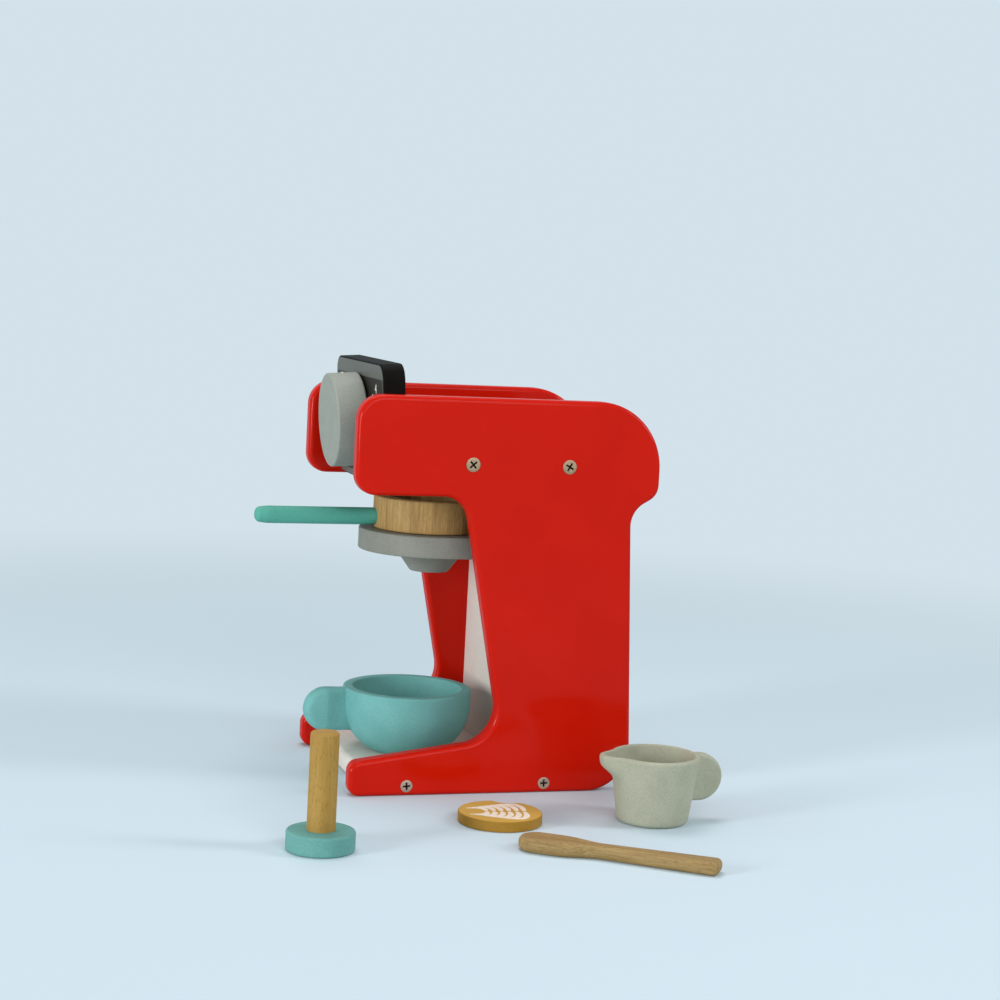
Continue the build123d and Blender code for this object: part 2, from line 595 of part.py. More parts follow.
def stirrer():
    """The flat stirrer: a long round paddle, a neck and a widening handle."""
    near_centre = PADDLE_RADIUS
    far_centre = PADDLE_RADIUS + PADDLE_CENTRE_GAP
    neck = PADDLE_NECK_WIDTH / 2
    end = HANDLE_END_WIDTH / 2
    right = Spline(
        (PADDLE_RADIUS, far_centre),
        (neck, NECK_DISTANCE),
        (end, STIRRER_LENGTH),
        tangents=[(0, 1), (end - neck, STIRRER_LENGTH - NECK_DISTANCE)],
    )
    left = mirror(right, Plane.YZ)
    end_line = Line((end, STIRRER_LENGTH), (-end, STIRRER_LENGTH))
    chord = Line((-PADDLE_RADIUS, far_centre), (PADDLE_RADIUS, far_centre))
    handle = make_face(right + end_line + left + chord)
    paddle = Pos(0, near_centre) * Circle(PADDLE_RADIUS)
    bridge_length = far_centre - near_centre
    bridge = Pos(0, near_centre + bridge_length / 2) * Rectangle(2 * PADDLE_RADIUS, bridge_length)
    outline = handle + bridge + paddle
    blade = extrude(outline, STIRRER_THICKNESS)
    corners = blade.edges().filter_by(Axis.Z).sort_by(Axis.Y)[-2:]
    blade = fillet(corners, HANDLE_END_RADIUS)
    blade = fillet(blade.faces().filter_by(Axis.Z).edges(), STIRRER_ROUNDING)
    return Pos(STIRRER_X, STIRRER_Y, 0) * Rot(0, 0, -STIRRER_TURN) * blade


NODES = {
    "right_side_panel": side_panel(1),
    "left_side_panel": side_panel(-1),
    "base_board": base_board(),
    "back_board": back_board(),
    "top_board": top_board(),
    "dial_plate": dial_plate(),
    "right_head_screws": side_screws(1, HEAD_SCREW_Y, TOP_SCREW_Z, HEAD_SCREW_DIAMETER),
    "right_foot_screws": side_screws(1, FOOT_SCREW_Y, TRAY_SCREW_Z, FOOT_SCREW_DIAMETER),
    "left_head_screws": side_screws(-1, HEAD_SCREW_Y, TOP_SCREW_Z, HEAD_SCREW_DIAMETER),
    "left_foot_screws": side_screws(-1, FOOT_SCREW_Y, TRAY_SCREW_Z, FOOT_SCREW_DIAMETER),
    "back_board_dowels": Compound(back_board_dowels()),
    "dial_plate_dowels": Compound(dial_plate_dowels()),
    "knob_washer": knob_washer(),
    "control_knob": control_knob(),
    "knob_axle": knob_axle(),
    "axle_collar": axle_collar(),
    "axle_collar_screw": axle_collar_screw(),
    "drip_collar": drip_collar(),
    "drip_collar_screws": drip_collar_screws(),
    "strike_washer": strike_washer(),
    "strike_washer_screw": strike_washer_screw(),
    "filter_magnet": filter_magnet(),
    "filter_bowl": filter_bowl(),
    "filter_handle": filter_handle(),
    "cup_bowl": cup_bowl(),
    "cup_handle": cup_handle(),
    "jug_body": jug_body(),
    "jug_handle": jug_handle(),
    "tamper_base": tamper_base(),
    "tamper_rod": tamper_rod(),
    "latte_disc": latte_disc(),
    "stirrer": stirrer(),
}

os.makedirs("parts", exist_ok=True)
for name, shape in NODES.items():
    export_step(shape, f"parts/{name}.step")
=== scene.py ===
import json
import math

import bmesh
import bpy
from mathutils import Euler, Matrix, Vector


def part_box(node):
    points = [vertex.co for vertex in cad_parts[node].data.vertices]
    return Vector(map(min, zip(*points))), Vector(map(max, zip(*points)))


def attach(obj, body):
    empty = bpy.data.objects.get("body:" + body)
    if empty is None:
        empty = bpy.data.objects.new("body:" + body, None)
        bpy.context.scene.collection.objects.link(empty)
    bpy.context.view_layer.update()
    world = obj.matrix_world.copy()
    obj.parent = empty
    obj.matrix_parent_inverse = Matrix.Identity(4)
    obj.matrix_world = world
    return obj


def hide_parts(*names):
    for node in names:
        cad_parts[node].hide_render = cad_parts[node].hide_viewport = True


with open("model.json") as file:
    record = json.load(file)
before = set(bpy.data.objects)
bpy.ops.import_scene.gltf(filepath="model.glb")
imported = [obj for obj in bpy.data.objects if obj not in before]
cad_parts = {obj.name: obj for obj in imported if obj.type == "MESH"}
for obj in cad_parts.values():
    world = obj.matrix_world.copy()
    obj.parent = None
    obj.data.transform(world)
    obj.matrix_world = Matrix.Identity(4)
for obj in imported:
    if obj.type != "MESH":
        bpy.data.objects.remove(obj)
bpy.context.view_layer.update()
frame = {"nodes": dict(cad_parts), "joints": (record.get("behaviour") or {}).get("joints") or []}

# The looks of a wooden toy coffee maker: turned cup and jug, carved stirrer, screws,
# screen-printed dial, latte print, and the finish of every board, dowel and washer.

MM = 0.001
SMOOTH_ANGLE = 35.0             # degrees; sharper edges stay crisp
SHARP_ANGLE = 60.0              # degrees; edges of carved pieces that get rounded
TINY = 0.01 * MM                # points nearer than this are the same

# ---- Camera and studio -----------------------------------------------------------------
LENS = 75.06                    # mm, on a 36 mm sensor
EYE = (1.3047, -0.3928, 0.3232)
EYE_TURN = 72.39                # degrees round from the machine's front
EYE_DROP = 6.03                 # degrees below level
EYE_ROLL = 3.02
AIM = Vector((0.04, 0.0, 0.11))    # what the lamps point at
LAMPS = (                        # name, place, width, height, power in watts
    ("key_from_front_right", (0.9, -2.0, 0.45), 0.45, 0.8, 29.0),
    ("fill_beside_camera", (1.7, 0.1, 0.8), 1.1, 1.1, 10.5),
    ("rim_from_behind", (0.7, 1.6, 1.1), 0.4, 1.0, 13.0),
    ("top_and_back", (-0.3, -0.1, 1.6), 0.9, 0.9, 12.0),
)
AIR_LIGHT = 0.32                # strength of the even light from all round
BACKDROP = "#d3e2ea"
FLOOR_RADIUS = 9.0
FLOOR_BORDER = 0.3
FLOOR_FADE = (0.3, 1.3)         # from here to here the floor turns into the backdrop

# ---- Cup -------------------------------------------------------------------------------
CUP_FOOT = (22.0 * MM, 0.0)                 # (radius, height) round the outside
CUP_BELLY = (36.6 * MM, 12.5 * MM)
CUP_SHOULDER = (41.8 * MM, 28.0 * MM)
CUP_WALL = 6.4 * MM
CUP_FLOOR = 6.0 * MM
CUP_INNER_BELLY = (0.9, 0.45)    # of the wall: how far in and up the inside's belly lies
CUP_ROUND_STEPS = 14            # rings from foot to shoulder
CUP_FOOT_ROUNDING = 0.8 * MM
CUP_RIM_ROUNDING = 1.4 * MM     # outside; the inner edge is sharper
CUP_LIP_ROUNDING = 0.7 * MM
CUP_EAR_ROUNDING = 4.5 * MM
CUP_EAR_SCOOP = (               # towards the bowl: (distance, share of the ear's thickness)
    (1.0 * MM, 0.98),
    (2.5 * MM, 0.92),
    (4.5 * MM, 0.83),
    (7.0 * MM, 0.72),
    (9.5 * MM, 0.62),
    (12.0 * MM, 0.53),
    (15.5 * MM, 0.42),
)
CUP_EAR_TILT = 3.5 * MM         # the ear's lower root reaches further under the belly

# ---- Jug -------------------------------------------------------------------------------
JUG_FOOT_RADIUS = 21.7 * MM
JUG_WALL = 3.4 * MM
JUG_FLOOR = 4.5 * MM
JUG_RIM_ROUNDING = 2.2 * MM     # outside; the inner edge is sharper
JUG_LIP_ROUNDING = 1.0 * MM
JUG_FOOT_ROUNDING = 3.0 * MM
JUG_RINGS = (0.0, 9.0, 18.0, 23.0, 26.0, 28.5, 30.5, 32.5, 34.5, 36.5)    # mm up the wall
SPOUT_PULL = 8.0 * MM
SPOUT_SPREAD = 11.0 * MM
SPOUT_PINCH = 4.2 * MM          # half the width of rim that is pulled
SPOUT_LIP = 6.0 * MM            # height of rim that is pulled
JUG_EAR_ROUNDING = 2.5 * MM
JUG_EAR_ROOT = 3.4 * MM         # how far the ear is drawn out towards the wall
JUG_EAR_TILT = 3.8 * MM

# ---- Stirrer ---------------------------------------------------------------------------
STIRRER_TURN = 35.0             # degrees from +Y towards +X
STIRRER_TIP = Vector((196.0, -18.5, 0.0)) * MM
STIRRER_LENGTH = 117.7 * MM
STIRRER_ROUNDING = 3.3 * MM
PADDLE_RADIUS = 11.0 * MM
PADDLE_END = 24.0 * MM          # tip to where the paddle starts to narrow
NECK_DISTANCE = 50.0 * MM
NECK_HALF_WIDTH = 5.0 * MM
HANDLE_HALF_WIDTH = 7.5 * MM
HANDLE_CORNER = 3.5 * MM
STIRRER_STEPS = 26              # along its length

# ---- Knob and dial ---------------------------------------------------------------------
DIAL_LEAN = 4.0                 # degrees; the plate's top leans forward
KNOB_RADIUS = 30.0 * MM
KNOB_BACK = 1.4 * MM            # in front of the plate
KNOB_FRONT = 21.0 * MM
KNOB_EDGE = 1.3 * MM
KNOB_DISH = 0.4 * MM            # how far the face's middle lies back
KNOB_BORDER = 5.2 * MM          # the level rim round the dish
DISH_FLAT = 2.0 * MM            # radius of the dish's level middle
PIP_RADIUS = 0.9 * MM
PIP_STAND = 0.4 * MM
PRINT_SINK = 0.05 * MM          # printed layers start this far inside what carries them
FIELD_SIZE = (125.0 * MM, 75.4 * MM)
FIELD_CENTRE_Z = -0.7 * MM
FIELD_CORNER = 9.0 * MM
FIELD_STAND = 0.12 * MM         # in front of the plate
BAND_SIZE = (122.6 * MM, 63.0 * MM)
BAND_CENTRE_Z = -3.2 * MM
BAND_CORNER = 1.5 * MM
BAND_STAND = 0.2 * MM
SCALE_STAND = 0.3 * MM          # ticks and numerals, in front of the plate
SCALE_THICKNESS = 0.2 * MM
WASHER_HOLE = 13.2 * MM         # room in the print for the felt ring
CUTTER_DEPTH = 4.0 * MM         # past the print on both sides
TICK_INNER = 36.0 * MM
TICK_MINOR = 3.0 * MM
TICK_MAJOR = 5.0 * MM
TICK_WIDTH = 0.9 * MM
NUMERAL_RADIUS = 49.5 * MM
NUMERAL_SIZE = 9.0 * MM
NUMERAL_ANGLES = (206.0, 180.0, 154.0, 26.0, 0.0, -26.0)    # 1 to 6, clockwise

# ---- Latte print -----------------------------------------------------------------------
LEAF_TURN = 262.0               # degrees; the leaf's tails point towards the front
LEAF_CENTRE = Vector((1.8, 0.6)) * MM    # from the disc's centre, along and across the leaf
LEAF_START = -16.5 * MM         # where the first fronds leave the stem
LEAF_STROKES = 6                # fronds on each side
STEM_GAP = 0.9 * MM             # from the stem's middle to a frond's root
FROND_DIP = 1.0 * MM            # how far a frond first bends back
LEAF_SPREAD = (18.6, 2.1)       # mm; the first fronds' reach sideways, and how much it shrinks
LEAF_RISE = (13.0, 0.6)         # mm; the first fronds' reach forwards, and how much it shrinks
STROKE_STEP = 4.7 * MM          # from one frond to the next, along the leaf
STROKE_WIDTH = 3.7 * MM
STROKE_SHARES = (0.6, 1.1, 0.9, 0.3)    # of that width, from the stem to the frond's tip
STROKE_STAND = 0.12 * MM

# ---- Screws ----------------------------------------------------------------------------
HEAD_SCREW_Y = (-21.0 * MM, 42.2 * MM)
FOOT_SCREW_Y = (-53.9 * MM, 36.4 * MM)
SCREW_LENGTH = 38.0 * MM
SCREW_SINK = 0.1 * MM           # head below the board's face
SCREW_STAND = 0.3 * MM          # how much less deep the right-hand screws were driven
HEAD_SCREW_TURNS = (42.0, 60.0)   # how far round the two crosses of a pair stopped
FOOT_SCREW_TURNS = (5.0, 2.0)
COLLAR_SCREW_TURNS = (10.0, 55.0)
SHANK_RADIUS = 1.9 * MM
SCREW_TIP_RADIUS = 0.3 * MM
SCREW_POINT = 5 * MM            # length of the tapered end
RECESS_WIDTH = 1.45 * MM
RECESS_DEPTH = 2.4 * MM
RECESS_SHARE = 0.76             # cross width over head width
RECESS_TAPER = 0.6              # cross size at its floor over the size at the head's face
HEAD_GAP = 0.15 * MM            # between the head's rim and its countersink
HEAD_EDGE = 0.15 * MM


# ---- Modelling helpers -----------------------------------------------------------------
def deselect():
    """Object mode, with nothing selected."""
    if bpy.context.mode != "OBJECT":
        bpy.ops.object.mode_set(mode="OBJECT")
    bpy.ops.object.select_all(action="DESELECT")


def choose(*pieces):
    """Selects these pieces; the last one becomes the active one."""
    deselect()
    for piece in pieces:
        piece.select_set(True)
    bpy.context.view_layer.objects.active = pieces[-1]


def started(name):
    """Names the primitive that was just added and applies its place to its mesh."""
    piece = bpy.context.active_object
    piece.name = name
    piece.data.name = name
    choose(piece)
    bpy.ops.object.transform_apply(location=True, rotation=True, scale=True)
    return piece


def edit(piece):
    """Opens a piece in edit mode with nothing picked."""
    choose(piece)
    bpy.ops.object.mode_set(mode="EDIT")
    bpy.ops.mesh.select_all(action="DESELECT")


def pick(kind, test):
    """Picks the verts, edges or faces of which every corner passes the test."""
    bpy.ops.mesh.select_mode(type={"verts": "VERT", "edges": "EDGE", "faces": "FACE"}[kind])
    bpy.ops.mesh.select_all(action="DESELECT")
    mesh = bpy.context.edit_object.data
    form = bmesh.from_edit_mesh(mesh)
    for element in getattr(form, kind):
        corners = [element] if kind == "verts" else element.verts
        element.select_set(all(test(corner.co) for corner in corners))
    form.select_flush_mode()
    bmesh.update_edit_mesh(mesh)


def face_outwards():
    """Turns every face of the edited piece outwards."""
    bpy.ops.mesh.select_all(action="SELECT")
    bpy.ops.mesh.normals_make_consistent(inside=False)


def put(piece, place):
    """Moves a piece that was made at the origin to its place, and applies it."""
    piece.matrix_world = place
    choose(piece)
    bpy.ops.object.transform_apply(location=True, rotation=True, scale=True)
    return piece


def combine(piece, other, operation):
    """Unites a piece with another, or cuts the other out of it, and drops the other."""
    choose(piece)
    bpy.ops.object.modifier_add(type="BOOLEAN")
    boolean = piece.modifiers[-1]
    boolean.operation = operation
    boolean.object = other
    boolean.solver = "EXACT"
    bpy.ops.object.modifier_apply(modifier=boolean.name)
    bpy.data.objects.remove(other)
    return piece


def joined(name, pieces):
    """Several separate pieces as one object."""
    choose(*pieces)
    if len(pieces) > 1:
        bpy.ops.object.join()
    group = bpy.context.active_object
    group.name = name
    group.data.name = name
    return group


def finished(piece, body, finish, nodes=()):
    """Gives a piece its shading, its material, the body it rides on and the nodes it replaces.

    With None as its finish, it keeps the materials it has."""
    choose(piece)
    bpy.ops.object.shade_smooth_by_angle(angle=math.radians(SMOOTH_ANGLE))
    if finish:
        piece.data.materials.clear()
        piece.data.materials.append(finish)
    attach(piece, body)
    if nodes:
        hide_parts(*nodes)
    return piece


def lathe(name, at, rings, sides=96):
    """A closed turned form: rings of (radius, height) from the foot's face to the last face."""
    deselect()
    radius, height = rings[0]
    foot = (at[0], at[1], at[2] + height)
    bpy.ops.mesh.primitive_circle_add(
        vertices=sides, radius=radius, fill_type="NGON", location=foot)
    piece = started(name)
    edit(piece)
    bpy.ops.mesh.select_all(action="SELECT")
    for next_radius, next_height in rings[1:]:
        rise = (0, 0, next_height - height)
        bpy.ops.mesh.extrude_region_move(TRANSFORM_OT_translate={"value": rise})
        centre = (at[0], at[1], at[2] + next_height)
        scale = next_radius / radius
        bpy.ops.transform.resize(value=(scale, scale, 1), center_override=centre)
        radius, height = next_radius, next_height
    face_outwards()
    return piece


def round_ring(at, ring, width, segments):
    """Bevels the edges of the edited turned piece that lie on one (radius, height) ring."""
    radius, height = ring

    def on_ring(point):
        away = math.hypot(point.x - at[0], point.y - at[1])
        return abs(away - radius) < TINY and abs(point.z - at[2] - height) < TINY

    pick("edges", on_ring)
    bpy.ops.mesh.bevel(offset=width, segments=segments, affect="EDGES")


def arc_through(first, middle, last, count):
    """Points on the round through three (radius, height) points, with both ends."""
    (ax, ay), (bx, by), (cx, cy) = first, middle, last
    twice_area = 2 * (ax * (by - cy) + bx * (cy - ay) + cx * (ay - by))
    a2, b2, c2 = ax * ax + ay * ay, bx * bx + by * by, cx * cx + cy * cy
    centre_x = (a2 * (by - cy) + b2 * (cy - ay) + c2 * (ay - by)) / twice_area
    centre_y = (a2 * (cx - bx) + b2 * (ax - cx) + c2 * (bx - ax)) / twice_area
    radius = math.hypot(ax - centre_x, ay - centre_y)
    start = math.atan2(ay - centre_y, ax - centre_x)
    turn = math.atan2(cy - centre_y, cx - centre_x) - start
    angles = [start + turn * step / (count - 1) for step in range(count)]
    return [(centre_x + radius * math.cos(a), centre_y + radius * math.sin(a)) for a in angles]


def drawn_tongue(name, radius, thickness, steps, rounding, end_corner=0.0):
    """Half a disc whose flat side is drawn out along +Y in steps of (distance, half width).

    With an end corner, the far end is free: its corners and its edges are rounded too."""
    deselect()
    bpy.ops.mesh.primitive_cylinder_add(vertices=64, radius=radius, depth=thickness)
    tongue = started(name)
    edit(tongue)
    bpy.ops.mesh.select_all(action="SELECT")
    bpy.ops.mesh.bisect(plane_co=(0, 0, 0), plane_no=(0, 1, 0), clear_outer=True, use_fill=True)
    pick("faces", lambda point: point.y > -TINY)
    distance, width = 0.0, radius
    for next_distance, next_width in steps:
        run = (0, next_distance - distance, 0)
        bpy.ops.mesh.extrude_region_move(TRANSFORM_OT_translate={"value": run})
        narrowing = (next_width / width, 1, 1)
        bpy.ops.transform.resize(value=narrowing, center_override=(0, next_distance, 0))
        distance, width = next_distance, next_width
    face_outwards()
    if end_corner:
        for side in (-1, 1):
            pick("edges", lambda point: point.y > distance - TINY and side * point.x > 0)
            bpy.ops.mesh.bevel(offset=end_corner, segments=8, affect="EDGES")
        round_outline(distance + TINY, rounding)
        bpy.ops.mesh.select_all(action="SELECT")
        bpy.ops.mesh.remove_doubles(threshold=TINY)
    else:
        round_outline(distance - TINY, rounding)
    return tongue


def round_outline(end, rounding):
    """Bevels the edited tongue's sharp edges, but not those that lie past this distance."""
    bpy.ops.mesh.select_mode(type="EDGE")
    bpy.ops.mesh.select_all(action="DESELECT")
    bpy.ops.mesh.edges_select_sharp(sharpness=math.radians(SHARP_ANGLE))
    mesh = bpy.context.edit_object.data
    form = bmesh.from_edit_mesh(mesh)
    for edge in form.edges:
        if all(corner.co.y > end for corner in edge.verts):
            edge.select_set(False)
    form.select_flush_mode()
    bmesh.update_edit_mesh(mesh)
    bpy.ops.mesh.bevel(offset=rounding, segments=6, affect="EDGES")


def scoop(steps):
    """Thins the edited tongue to a share of its thickness at each distance."""
    for distance, share in steps:
        pick("verts", lambda point: abs(point.y - distance) < TINY)
        bpy.ops.transform.resize(value=(1, 1, share), center_override=(0, distance, 0))


def rounded_sheet(name, size, corner, thickness):
    """A thin plate in the XY plane with round corners, its top at z = 0."""
    deselect()
    bpy.ops.mesh.primitive_plane_add(size=1, location=(0, 0, -thickness))
    sheet = bpy.context.active_object
    sheet.scale = (size[0], size[1], 1)
    sheet = started(name)
    edit(sheet)
    bpy.ops.mesh.select_all(action="SELECT")
    bpy.ops.mesh.bevel(offset=corner, segments=8, affect="VERTICES")
    bpy.ops.mesh.select_all(action="SELECT")
    bpy.ops.mesh.extrude_region_move(TRANSFORM_OT_translate={"value": (0, 0, thickness)})
    face_outwards()
    return sheet


# ---- Materials -------------------------------------------------------------------------
def colour(hex_code):
    """An sRGB hex value as the linear colour that a socket takes."""
    channels = [int(hex_code[start:start + 2], 16) / 255 for start in (1, 3, 5)]
    linear = [c / 12.92 if c <= 0.04045 else ((c + 0.055) / 1.055) ** 2.4 for c in channels]
    return (*linear, 1.0)


def node(tree, kind, values=None, links=None, stops=(), **settings):
    """Adds a shader node with its settings, socket values, ramp stops and incoming links."""
    made = tree.nodes.new("ShaderNode" + kind)
    for name, value in settings.items():
        setattr(made, name, value)
    for socket, value in (values or {}).items():
        made.inputs[socket].default_value = value
    for socket, source in (links or {}).items():
        tree.links.new(source, made.inputs[socket])
    for count, (place, hex_code) in enumerate(stops):
        ramp = made.color_ramp.elements
        stop = ramp[count] if count < len(ramp) else ramp.new(place)
        stop.position = place
        stop.color = colour(hex_code)
    return made


def per_metre(size_mm):
    """The noise scale that gives blotches of about this size."""
    return 1 / (size_mm * MM)


def blank_material(name):
    """A material with an empty node tree, and its object coordinates."""
    made = bpy.data.materials.new(name)
    made.use_nodes = True
    tree = made.node_tree
    tree.nodes.clear()
    place = node(tree, "TexCoord").outputs["Object"]
    return made, tree, place


def shade(tree, values, links):
    """The material's Principled shader and its output."""
    shader = node(tree, "BsdfPrincipled", values, links)
    node(tree, "OutputMaterial", links={"Surface": shader.outputs["BSDF"]})


def red_lacquer():
    """Sprayed polyurethane lacquer on birch plywood: deep colour, wet gloss, faint orange peel."""
    made, tree, place = blank_material("sprayed_red_polyurethane_lacquer")
    cloud = node(tree, "TexNoise", {"Scale": per_metre(45), "Detail": 2.0}, {"Vector": place})
    tone = node(tree, "ValToRGB", links={"Fac": cloud.outputs["Fac"]},
                stops=((0.35, "#bd1402"), (0.65, "#c31604")))
    peel = node(tree, "TexNoise", {"Scale": per_metre(2.2), "Detail": 1.0}, {"Vector": place})
    bump = node(tree, "Bump", {"Strength": 0.3, "Distance": 0.02 * MM},
                {"Height": peel.outputs["Fac"]})
    shade(tree, {"Roughness": 0.36, "IOR": 1.5, "Specular IOR Level": 0.02,
                 "Coat Weight": 0.2, "Coat Roughness": 0.1},
          {"Base Color": tone.outputs["Color"], "Normal": bump.outputs["Normal"]})
    return made


def satin_paint(name, light, dark, top=None, gloss=0.2, grain_turn=(0.0, 0.0, 0.0)):
    """Water-based satin paint on turned wood: even colour, with the grain just felt through it.

    A lighter tone can be painted on the faces that look up, as painted light from above."""
    made, tree, place = blank_material(name)
    cloud = node(tree, "TexNoise", {"Scale": per_metre(14), "Detail": 3.0}, {"Vector": place})
    speck = node(tree, "TexNoise", {"Scale": per_metre(1.1), "Detail": 2.0}, {"Vector": place})
    mixed = node(tree, "Math", {1: 0.55}, {0: speck.outputs["Fac"]}, operation="MULTIPLY")
    total = node(tree, "Math", {1: 0.45}, {0: cloud.outputs["Fac"], 2: mixed.outputs["Value"]},
                 operation="MULTIPLY_ADD")
    tone = node(tree, "ValToRGB", links={"Fac": total.outputs["Value"]},
                stops=((0.38, dark), (0.6, light))).outputs["Color"]
    # faces that look up get the lighter tone: painted light from above
    if top:
        facing = node(tree, "TexCoord").outputs["Normal"]
        upward = node(tree, "SeparateXYZ", links={"Vector": facing}).outputs["Z"]
        painted_top_light = node(tree, "MapRange", {"From Min": 0.85, "From Max": 0.95}, {"Value": upward})
        tone = node(tree, "Mix", {"B": colour(top)},
                    {"Factor": painted_top_light.outputs["Result"], "A": tone},
                    data_type="RGBA").outputs["Result"]
    along = node(tree, "Mapping", {"Rotation": grain_turn, "Scale": (1.0, 1.0, 0.06)},
                 {"Vector": place})
    grain = node(tree, "TexNoise", {"Scale": per_metre(0.9), "Detail": 2.0},
                 {"Vector": along.outputs["Vector"]})
    bump = node(tree, "Bump", {"Strength": 0.5, "Distance": 0.04 * MM},
                {"Height": grain.outputs["Fac"]})
    shade(tree, {"Roughness": 0.6, "IOR": 1.48, "Specular IOR Level": gloss},
          {"Base Color": tone, "Normal": bump.outputs["Normal"]})
    return made


def oiled_beech(name, light="#b4935b", middle="#9e7d4d", dark="#6e502b", rays=0.45, streaks=0.5,
                turn=(0.0, 0.0, 0.0)):
    """Oiled beech, sanded: warm tan, long soft bands and the faint short flecks of its rays.

    The flecks and fibres are drawn a little coarser than real ones, so that they show."""
    made, tree, place = blank_material(name)
    aligned = node(tree, "Mapping", {"Rotation": turn}, {"Vector": place}).outputs["Vector"]
    banded = node(tree, "Mapping", {"Scale": (1.0, 1.0, 0.07)}, {"Vector": aligned})
    bands = node(tree, "TexNoise", {"Scale": per_metre(3.4), "Detail": 3.0, "Distortion": 0.4},
                 {"Vector": banded.outputs["Vector"]})
    tone = node(tree, "ValToRGB", links={"Fac": bands.outputs["Fac"]},
                stops=((0.38, middle), (0.6, light)))
    flecked = node(tree, "Mapping", {"Scale": (1.0, 1.0, 0.28)}, {"Vector": aligned})
    flecks = node(tree, "TexNoise", {"Scale": per_metre(0.9), "Detail": 1.5},
                  {"Vector": flecked.outputs["Vector"]})
    mask = node(tree, "MapRange", {"From Min": 0.52, "From Max": 0.72, "To Max": rays},
                {"Value": flecks.outputs["Fac"]})
    streaked = node(tree, "Mapping", {"Scale": (1.0, 1.0, 0.05)}, {"Vector": aligned})
    fibres = node(tree, "TexNoise", {"Scale": per_metre(1.0), "Detail": 2.0},
                  {"Vector": streaked.outputs["Vector"]})
    fibre_mask = node(tree, "MapRange", {"From Min": 0.42, "From Max": 0.72, "To Max": streaks},
                      {"Value": fibres.outputs["Fac"]})
    both = node(tree, "Math", links={0: mask.outputs["Result"], 1: fibre_mask.outputs["Result"]},
                operation="MAXIMUM")
    mixed = node(tree, "Mix", {"B": colour(dark)},
                 {"Factor": both.outputs["Value"], "A": tone.outputs["Color"]}, data_type="RGBA")
    bump = node(tree, "Bump", {"Strength": 0.6, "Distance": 0.05 * MM},
                {"Height": fibres.outputs["Fac"]}, invert=True)
    shade(tree, {"Roughness": 0.6, "IOR": 1.47, "Specular IOR Level": 0.2},
          {"Base Color": mixed.outputs["Result"], "Normal": bump.outputs["Normal"]})
    return made


def printed_ink(name, hex_code):
    """Screen-printed enamel ink: a thin even film with a little mesh texture.

    A printing screen's mesh is finer than this, which is as coarse as it needs to show."""
    made, tree, place = blank_material(name)
    mesh_marks = node(tree, "TexNoise", {"Scale": per_metre(0.7), "Detail": 1.0},
                      {"Vector": place})
    bump = node(tree, "Bump", {"Strength": 0.3, "Distance": 0.02 * MM},
                {"Height": mesh_marks.outputs["Fac"]})
    wear = node(tree, "MapRange", {"To Min": 0.36, "To Max": 0.48},
                {"Value": mesh_marks.outputs["Fac"]})
    shade(tree, {"Base Color": colour(hex_code), "IOR": 1.5, "Specular IOR Level": 0.15},
          {"Roughness": wear.outputs["Result"], "Normal": bump.outputs["Normal"]})
    return made


def plated_steel(name, light, dark, roughness):
    """Zinc- or nickel-plated steel: metallic, slightly clouded by the plating bath."""
    made, tree, place = blank_material(name)
    cloud = node(tree, "TexNoise", {"Scale": per_metre(1.6), "Detail": 3.0}, {"Vector": place})
    tone = node(tree, "ValToRGB", links={"Fac": cloud.outputs["Fac"]},
                stops=((0.35, dark), (0.65, light)))
    rub = node(tree, "MapRange", {"To Min": roughness - 0.08, "To Max": roughness + 0.1},
               {"Value": cloud.outputs["Fac"]})
    shade(tree, {"Metallic": 1.0}, {"Base Color": tone.outputs["Color"],
                                    "Roughness": rub.outputs["Result"]})
    return made


def pressed_felt():
    """Grey wool felt, pressed: no gloss, matted fibres, drawn coarser than real ones."""
    made, tree, place = blank_material("pressed_grey_wool_felt")
    fibres = node(tree, "TexNoise", {"Scale": per_metre(0.5), "Detail": 4.0, "Distortion": 1.5},
                  {"Vector": place})
    tone = node(tree, "ValToRGB", links={"Fac": fibres.outputs["Fac"]},
                stops=((0.35, "#222224"), (0.65, "#3a3a3d")))
    bump = node(tree, "Bump", {"Strength": 0.9, "Distance": 0.15 * MM},
                {"Height": fibres.outputs["Fac"]})
    shade(tree, {"Roughness": 0.95, "Sheen Weight": 0.3},
          {"Base Color": tone.outputs["Color"], "Normal": bump.outputs["Normal"]})
    return made


def studio_paper():
    """The pale floor, which turns into the backdrop's colour away from the object."""
    made, tree, place = blank_material("matt_studio_paper")
    paper = node(tree, "BsdfPrincipled", {"Base Color": colour("#c7dae4"), "Roughness": 0.9})
    glow = node(tree, "Emission", {"Color": colour(BACKDROP), "Strength": 1.0})
    away = node(tree, "VectorMath", links={0: place}, operation="LENGTH")
    fade = node(tree, "MapRange", {"From Min": FLOOR_FADE[0], "From Max": FLOOR_FADE[1]},
                {"Value": away.outputs["Value"]}, interpolation_type="SMOOTHSTEP")
    share = node(tree, "Math", links={0: fade.outputs["Result"], 1: seen_rays(tree)},
                 operation="MULTIPLY")
    mixed = node(tree, "MixShader", links={"Fac": share.outputs["Value"],
                                           1: paper.outputs["BSDF"], 2: glow.outputs["Emission"]})
    node(tree, "OutputMaterial", links={"Surface": mixed.outputs["Shader"]})
    return made


def seen_rays(tree):
    """One for what the camera sees, straight or mirrored, and nought for light that bounces."""
    ray = node(tree, "LightPath").outputs
    mirrored = node(tree, "Math", links={0: ray["Is Glossy Ray"], 1: ray["Is Transmission Ray"]},
                    operation="MAXIMUM")
    seen = node(tree, "Math", links={0: ray["Is Camera Ray"], 1: mirrored.outputs["Value"]},
                operation="MAXIMUM")
    return seen.outputs["Value"]


